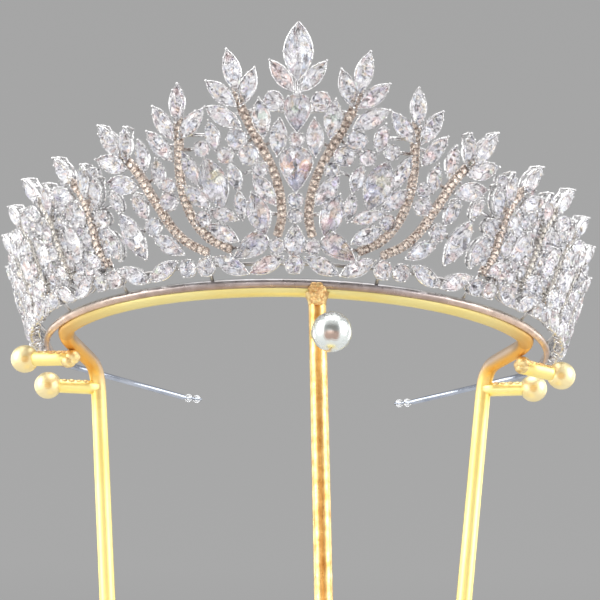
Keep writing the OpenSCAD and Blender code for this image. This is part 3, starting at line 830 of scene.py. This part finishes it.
def back_wires():
    """A wire from each stone to the nearest line, the collar and spine, and all that stands on the band."""
    piece = Piece("back_wires", [WHITE, BAND], "white_metal")
    spots = np.array([p for line in LINES + [COLLAR, SPINE] for p in through(line, 4)])
    for _, side in SIDES:
        for s in MAIN_ROWS + SIDE_STONES + FAR_ROWS + FILL_ROWS:
            start, end = s[:2], spots[np.argmin(wall_gap(s[0], s[1], spots[:, 0], spots[:, 1]))]
            path = [start, ((start[0] + end[0]) / 2, (start[1] + end[1]) / 2), end]
            tube(piece, on_wall(path, BACK - 0.05, side), 0.55)
        tube(piece, on_wall(through(COLLAR), BACK, side), 0.7)
    tube(piece, on_wall(through(SPINE), BACK, 1), 0.7)
    rail = [(a, ROW_H) for a in np.linspace(0, ROW_ROWS[-1][0], 60)]
    for _, side in SIDES:
        for s in ROW_ROWS[2::4]:
            post(piece, s[0] * side, s[1])
        for line in LINES:
            tube(piece, on_wall([line[0], (line[0][0], ROW_H)], BACK, side), 0.45)
        tube(piece, on_wall(rail, BACK, side), 0.5, kind=1, tint=POST_PAINTED_SHADE)
    piece.finish("crown_frame")


# Painted light on the band: heights from its lower edge to its top, then red, green and blue there
BAND_LIGHT_LEVELS = (-0.5, -0.25, 0.1, 0.3, 0.42)
BAND_LIGHT_COLUMNS = ((0.86, 0.86, 0.8, 0.9, 0.32), (0.64, 0.7, 0.76, 0.9, 0.32), (0.56, 0.66, 0.8, 0.92, 0.34))
# Painted shade across the front of the band, fading out over a run of angles towards its ends
BAND_FRONT_SHADE, BAND_PALE_FROM, BAND_PALE_RUN = np.array([0.54, 0.56, 0.64]), 22, 30


def painted_band_light(z, a):
    """Painted light: painted shade on top, a painted highlight along the edge below it, then a warm painted
    reflection where the gilt ring shines up. Painted shade across the front, paler towards the ends.
    """
    pale = float(np.clip((abs(a) - BAND_PALE_FROM) / BAND_PALE_RUN, 0, 1))
    column = np.array([np.interp(z, BAND_LIGHT_LEVELS, values) for values in BAND_LIGHT_COLUMNS])
    return tuple((BAND_FRONT_SHADE * (1 - pale) + pale) * column)


def band():
    """The half-round band, flat inside."""
    piece = Piece("band", [BAND], "white_metal")
    bow = [(0.18 + 0.82 * math.cos(u), 0.5 * math.sin(u)) for u in np.radians(np.linspace(-82, 82, 11))]
    profile = [(0, -0.5)] + bow + [(0, 0.5)]
    angles = np.linspace(-STONES_END, STONES_END, 161)
    points = [on_circle(a, BAND_Z + z * BAND_H, BAND_R + x * BAND_T) for a in angles for x, z in profile]
    faces = rings_to_faces(len(angles), len(profile))
    levels = [np.mean([profile[k % len(profile)][1] for k in f]) for f in faces]
    places = [np.mean([angles[k // len(profile)] for k in f]) for f in faces]
    piece.add(points, faces, 0, [painted_band_light(z, a) for z, a in zip(levels, places)], True)
    piece.finish("crown_frame")


def bare_wires():
    """The wire ends, which rise and bow a little. Each ends in a thin spigot for its beads."""
    piece = Piece("bare_wires", [WIRE], "white_metal")
    angles = np.linspace(STONES_END - 2, WIRE_END + 5, 40)
    run = np.maximum(0, (angles - STONES_END) / (WIRE_END - STONES_END))
    heights = BAND_Z + WIRE_RISE * run + WIRE_BOW * np.maximum(0, 4 * run * (1 - run))
    radii = np.where(angles < WIRE_END, WIRE_D, SPIGOT_D) / 2
    for _, side in SIDES:
        tube(piece, [on_circle(a * side, z) for a, z in zip(angles, heights)], radii, 16)
    piece.finish("crown_frame")


def end_beads():
    """The beads keep their shape from the source and only get their glass."""
    glass_bead = bead_glass()
    for end, _ in SIDES:
        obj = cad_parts["end_beads" + end]
        for material_slot in obj.material_slots:
            material_slot.material = glass_bead
        for polygon in obj.data.polygons:
            polygon.use_smooth = True


back_wires()
band()
bare_wires()
end_beads()

# Stand
ROD, PIN, BALL, FRONT_BALL_D = 4.8, 4.4, 8.6, 10.2
RING_Z, RING_R, REACH, BEND_RUN = BAND_Z - 0.4, 74.9, 70, 7
FRONT_TOP, FRONT_FOOT = on_circle(4.6, RING_Z, RING_R), np.array([14.4, -72, 1.5])
FRONT_PIN, FRONT_BALL = np.array([6.5, -75, BAND_Z - 13]), np.array([9.9, -93, BAND_Z - 17.3])
BASE_CENTRE, BASE_R, BASE_T, WELD_RISE = np.array([0, -30, 0]), 62, 3, 1.8
# Places of the left and the right side, with x outwards
PLACES = {
    -1: {"leg_top": (64.2, 6.5, BAND_Z - 3), "foot": (41.3, 3, 1.5),
         "upper_arm": (69, -17, BAND_Z - 6), "upper_ball": (83.9, -12, BAND_Z - 5.3),
         "lower_arm": (63.2, 6, BAND_Z - 9.8), "lower_ball": (79.1, 3, BAND_Z - 10)},
    1: {"leg_top": (60.9, 6.5, BAND_Z - 0.5), "foot": (38, 3, 1.5),
        "upper_arm": (68.7, -17, BAND_Z - 5.7), "upper_ball": (81.8, -12, BAND_Z - 7.1),
        "lower_arm": (59.9, 6, BAND_Z - 7.8), "lower_ball": (75.6, 3, BAND_Z - 7.7)},
}


def place_of(side, name):
    return np.array(PLACES[side][name], float) * [side, 1, 1]


def side_path(side):
    """From the ring's arc round its end, over the leg's top and down to its foot."""
    start, end = (on_circle(a * side, RING_Z, RING_R) for a in (REACH - BEND_RUN, REACH))
    top = place_of(side, "leg_top")
    after = end + unit(top - end) * 9
    return bend(start, end, after, 12) + rounded([after, top, place_of(side, "foot")], 8)[1:]


# Painted light on the gilt rod: reach of the orange painted reflection at the bends, what it and the painted
# shade on top of the ring take from a tint, and the colour of the painted shade over the bends
BEND_REFLECTION_ON_RING, BEND_REFLECTION_ON_DIAGONAL = 24, 11
BEND_REFLECTION_LOSS, RING_TOP_SHADE_LOSS, BEND_SHADE_COLOUR = np.array([0.12, 0.42, 0.66]), np.array([0.5, 0.52, 0.3]), np.array([0.5, 0.47, 0.9])
# The ring painted darker and greener than the legs of the same rod: painted shade
RING_TINT, LEG_TINT = np.array([0.82, 0.84, 0.92]), np.array([1, 1, 0.96])
# What the painted reflection stripe down the front leg takes from a tint
FRONT_STRIPE_LOSS = np.array([0.12, 0.4, 0.62])


def painted_gilt_light(place, out):
    """Painted light: burnt orange where the rod was bent, a painted reflection; painted shade above there and
    on top of the ring under the band; and the ring painted darker than the legs.
    """
    side = -1 if place[0] < 0 else 1
    end = on_circle(REACH * side, RING_Z, RING_R)
    run = place_of(side, "leg_top") - end
    t = float(np.clip(np.dot(place - end, run) / np.dot(run, run), 0, 0.75))
    reach = BEND_REFLECTION_ON_DIAGONAL if t > 0 else BEND_REFLECTION_ON_RING
    bend_reflection = math.exp(-(np.linalg.norm(place - end - run * t) / reach) ** 2)
    across, _, rise = unit(out)
    on_ring = place[2] > RING_Z - 4 and t == 0
    ring_top_shade = min(1, max(0, rise * 3 - 0.7)) * (1 - bend_reflection) if on_ring and place[1] < -20 else 0
    upper = (rise - side * across) * 0.7
    bend_shade = min(1, max(0, upper * 2.5 - 0.3)) * bend_reflection if t > 0 else 0
    tint = (RING_TINT if on_ring else LEG_TINT) * (1 - bend_reflection * BEND_REFLECTION_LOSS) * (1 - ring_top_shade * RING_TOP_SHADE_LOSS)
    return tuple(tint + bend_shade * (BEND_SHADE_COLOUR - tint))


def painted_front_stripe(place, out):
    """Painted reflection: browner along the middle of the front, on the faces that look forward."""
    share = math.exp(-(math.degrees(math.atan2(out[0], -out[1])) / 24) ** 2)
    return tuple(1 - share * FRONT_STRIPE_LOSS)


def stand_rods():
    """One bent rod for the ring and both back legs, and the pins that hold the balls."""
    piece = Piece("stand_rods", [GILT], "gilt")
    arc = [on_circle(a, RING_Z, RING_R) for a in np.linspace(BEND_RUN - REACH, REACH - BEND_RUN, 89)]
    corners = side_path(-1)[::-1] + arc[1:-1] + side_path(1)
    path = [q for a, b in zip(corners[:-1], corners[1:]) for q in straight(a, b)[:-1]] + [corners[-1]]
    # The rod's faces carry painted light: orange painted reflection at the bends and painted shade on the
    # ring
    tube(piece, path, ROD / 2, 32, tint=painted_gilt_light)
    tube(piece, straight(FRONT_PIN, FRONT_BALL), PIN / 2, 24)
    for _, side in SIDES:
        for name, more in (("upper", 0.1), ("lower", 0)):
            arm = straight(place_of(side, name + "_arm"), place_of(side, name + "_ball"))
            tube(piece, arm, PIN / 2 + more, 24)
    piece.finish("stand_frame")


def front_leg():
    piece = Piece("front_leg", [WORN_GILT_AND_PAINTED_STRIPE], "gilt")
    # Its faces carry a painted reflection: a browner stripe down the middle of the front
    tube(piece, straight(FRONT_TOP, FRONT_FOOT, 4), ROD / 2 - 0.05, 48, tint=painted_front_stripe)
    piece.finish("stand_frame")


def base_plate():
    """A round plate with its edges rounded off."""
    piece = Piece("base_plate", [GILT], "gilt")
    n = 128
    t = turns(n)
    profile = ((BASE_R * 0.2, 0), (BASE_R - 0.6, 0), (BASE_R, 0.5), (BASE_R, BASE_T - 0.9),
               (BASE_R - 0.25, BASE_T - 0.35), (BASE_R - 0.9, BASE_T), (BASE_R * 0.2, BASE_T))
    rings = [np.column_stack([r * np.cos(t), r * np.sin(t), np.full(n, z)]) + BASE_CENTRE for r, z in profile]
    piece.add(np.vstack(rings), rings_to_faces(len(rings), n), smooth=True)
    piece.finish("stand_frame")


# Solder where rods meet
def weld(piece, foot, radius, seed):
    """An uneven collar round the foot of a leg."""
    rng = np.random.default_rng(seed)
    count, length = 13, 1.6
    path = [foot + [0, 0, WELD_RISE + length * t] for t in np.linspace(-0.5, 0.5, count)]
    rise = np.sin(np.linspace(0, math.pi, count)) ** 0.6
    tube(piece, path, radius + rise * (0.45 + 0.2 * rng.random(count)) - 0.25, 24)


def blob(piece, centre, radius, seed, stretch):
    """A drop of solder with a wavy surface."""
    rng = np.random.default_rng(seed)
    for _ in range(5):
        shift = rng.normal(0, radius * 0.22, 3) * stretch
        ball(piece, centre + shift, radius * (0.72 + 0.2 * rng.random()), None, 20, 12, stretch=stretch)


def lumps(piece, count, seed, place, size, stretch):
    """Many small drops of solder. place(u, v) gives a spot for two random shares."""
    rng = np.random.default_rng(seed)
    for _ in range(count):
        u, v, w = rng.random(3)
        shade = 0.55 + 0.45 * rng.random()
        tint = (shade ** 0.3, shade ** 0.8, shade)
        ball(piece, place(u, v), size * (0.7 + 0.6 * w), None, 10, 7, 0, tint, stretch)


def front_spot(u, v):
    """On the front of the leg and the ring, and over the band's lower half."""
    x, low = 1.8 * (2 * u - 1), 4.6 * v
    spread = 0.55 + 0.45 * min(1, low / 1.1) if low < 2.6 else 0.7
    deep = 79.1 - 0.38 * low
    return np.array([
        FRONT_TOP[0] + x * spread + low * 0.03, -deep - 0.5 * (1 - (x / 2.4) ** 2) + 0.3, RING_Z - 0.3 - low])


def solder():
    """The front leg's flared top with its lumps, drops on the arms, and collars at the feet."""
    piece = Piece("solder", [SOLDER], "gilt")
    steps = np.linspace(1.5, 4.6, 12)
    down = unit(FRONT_FOOT - FRONT_TOP)
    radii = [ROD / 2 + 0.02 + 1.35 * max(0, 1 - (t - 1.5) / 2.7) ** 2 for t in steps]
    # The flared top carries the same painted reflection stripe down its front as the leg
    tube(piece, [FRONT_TOP + down * t for t in steps], radii, 32, tint=painted_front_stripe)
    lumps(piece, 80, 21, front_spot, 0.7, (1, 0.8, 1))
    for _, side in SIDES:
        start, arm = place_of(side, "upper_arm"), place_of(side, "upper_ball") - place_of(side, "upper_arm")
        blob(piece, start, 2.4, 10 + side, (1.15, 1.1, 1))

        def arm_spot(u, v):
            return start + arm * (0.02 + 0.7 * u) + [0, -1.9 + 1.9 * v, 1.3 + 0.7 * v]
        lumps(piece, 34, 30 + side, arm_spot, 0.6, (1.3, 1, 0.8))
        start, arm = place_of(side, "lower_arm"), place_of(side, "lower_ball") - place_of(side, "lower_arm")
        for k in range(4):
            drop = start + arm * (0.26 + 0.14 * k) + [0, -1.1, 1.25]
            ball(piece, drop, 1.15 - 0.1 * (k % 2), None, 14, 8, stretch=(1.15, 0.9, 0.8))
        weld(piece, place_of(side, "foot"), ROD / 2, 5)
    weld(piece, FRONT_FOOT, ROD / 2 - 0.1, 6)
    piece.finish()


# Balls. Their painted reflection patch faces the camera, which was fitted to the photo
CAMERA = np.array([5.6, -420, 105.5])


def painted_reflection_spot(centre, colour, top, reach, corner=0):
    """A painted reflection on a ball's faces: a squarish patch towards the camera, of another colour in its
    upper part.
    """
    view = unit(CAMERA - centre)

    def tint(out):
        out = unit(out)
        away = math.degrees(math.acos(min(1, np.dot(out, view))))
        edge = reach * (1 - corner * math.cos(4 * math.atan2(out[2] - view[2], out[0] - view[0])))
        share = min(1, max(0, (edge - away) / 9 + 0.5))
        high = min(1, max(0, (out[2] - view[2]) / 0.12))
        return tuple(1 - share * (1 - (1 - high) * np.array(colour) - high * np.array(top)))
    return tint


def knob(name, centre, pin, d, mat, slot, tint, node_name):
    """A turned ball with a small flat where its pin goes in."""
    piece = Piece(name, [mat], slot)
    v = unit(pin - centre)
    side = unit(np.cross(v, [0, 0, 1]))
    axes = np.array([side, np.cross(v, side), v])
    n, m = 48, 32
    polar = np.linspace(0, math.pi, m + 1)[1:-1]
    polar = polar[polar > math.asin(PIN / d) * 1.02]
    points = np.array(sphere(polar, n) + [[0, 0, -1]]) * d / 2 @ axes
    faces = rings_to_faces(len(polar), n, caps=False)
    faces.append(list(range(n - 1, -1, -1)))
    last = (len(polar) - 1) * n
    faces += [[last + k, last + (k + 1) % n, len(points) - 1] for k in range(n)]
    piece.add(centre + points, faces, 0, [tint(points[f].mean(0)) for f in faces], True)
    piece.finish(node_name)


stand_rods()
front_leg()
base_plate()
solder()
# Painted reflection on the silver ball: a brown patch facing the camera, with grey painted shade over its
# upper part
patch = painted_reflection_spot(FRONT_BALL, (0.62, 0.44, 0.38), (0.5, 0.5, 0.5), 24, 0.1)
knob("front_ball", FRONT_BALL, FRONT_PIN, FRONT_BALL_D, SILVER, "silver_ball", patch, "front_knob")
for end, side in SIDES:
    for name in ("upper", "lower"):
        centre, pin = place_of(side, name + "_ball"), place_of(side, name + "_arm")
        # Painted reflection on the gilt balls: a tan patch facing the camera
        warm = painted_reflection_spot(centre, (0.82, 0.64, 0.45), (0.86, 0.72, 0.5), 15)
        knob(name + "_ball" + end, centre, pin, BALL, KNOBS, "gilt", warm, name + "_knob" + end)


# Stage, light and camera, in metres
FLOOR_R, TARGET = 2.2, (0, -0.02, 0.2)
PHOTO_FOCAL, PHOTO_WIDTH, SENSOR = 1361, 600, 36
TILT, YAW, ROLL = math.radians(17), math.radians(0.76), math.radians(1.37)


def add_floor():
    n = 96
    mesh = bpy.data.meshes.new("floor")
    points = [[FLOOR_R * math.cos(u), FLOOR_R * math.sin(u), 0] for u in turns(n)]
    mesh.from_pydata(points, [], [list(range(n))])
    mesh.materials.append(floor_paint())
    floor = add_object("floor", mesh)


def studio():
    """A pale surround: bright round the front, a little dimmer and warmer straight ahead, and dim behind."""
    world = bpy.data.worlds.new("studio")
    bpy.context.scene.world = world
    world.use_nodes = True
    tree = world.node_tree
    parts = node(tree, "ShaderNodeSeparateXYZ")
    tree.links.new(node(tree, "ShaderNodeTexCoord").outputs["Generated"], parts.inputs["Vector"])
    front = node(tree, "ShaderNodeMapRange", From_Min=-1)
    tree.links.new(parts.outputs["Y"], front.inputs["Value"])
    height = ramp(tree, parts.outputs["Z"], (0, 0.9), (0.1, 1), (0.5, 0.94), (1, 0.9))
    depth = ramp(tree, front.outputs["Result"], (0, (0.7, 0.65, 0.6)), (0.03, (0.82, 0.79, 0.76)),
                 (0.08, (1, 1, 1)), (0.5, 1), (0.8, 0.8), (0.92, 0.51), (1, 0.5))
    background = tree.nodes["Background"]
    tree.links.new(multiply(tree, height, depth), background.inputs["Color"])
    background.inputs["Strength"].default_value = 0.79


def area(name, place, size, power, colour=(1, 1, 1), tall=None):
    """A soft box that faces the crown."""
    data = bpy.data.lights.new(name, "AREA")
    data.shape = "RECTANGLE"
    data.size, data.size_y = size, tall or size
    data.energy = power
    data.color = colour
    obj = add_object(name, data)
    obj.location = place
    obj.rotation_euler = (Vector(TARGET) - Vector(place)).to_track_quat("-Z", "Y").to_euler()
    obj.visible_camera = False


def add_camera():
    """The photo's camera."""
    data = bpy.data.cameras.new("camera")
    data.sensor_width = SENSOR
    data.lens = PHOTO_FOCAL / PHOTO_WIDTH * SENSOR
    data.shift_x, data.shift_y = 0.0035, -0.001
    data.clip_start = 0.01
    camera = add_object("camera", data)
    bpy.context.scene.camera = camera
    level = Matrix.Rotation(YAW, 4, "Z") @ Matrix.Rotation(math.pi / 2 + TILT, 4, "X")
    camera.matrix_world = Matrix.Translation(Vector(CAMERA * MM)) @ level @ Matrix.Rotation(ROLL, 4, "Z")


add_floor()
studio()
area("left_box", (-1.1, -0.45, 0.4), 0.9, 17, (0.98, 1, 0.98), 1.6)
area("right_box", (1.1, -0.45, 0.35), 0.9, 16, (0.97, 0.99, 1), 1.6)
area("top_box", (0, -0.15, 1.2), 1, 8)
area("low_strip", (-0.15, -0.95, 0.03), 0.5, 0.9, tall=0.08)
area("back_left_box", (-1.15, 0.75, 0.3), 0.5, 5, tall=1.4)
area("back_right_box", (1.15, 0.75, 0.3), 0.5, 5, tall=1.4)
add_camera()
bpy.context.scene.view_settings.view_transform = "Standard"
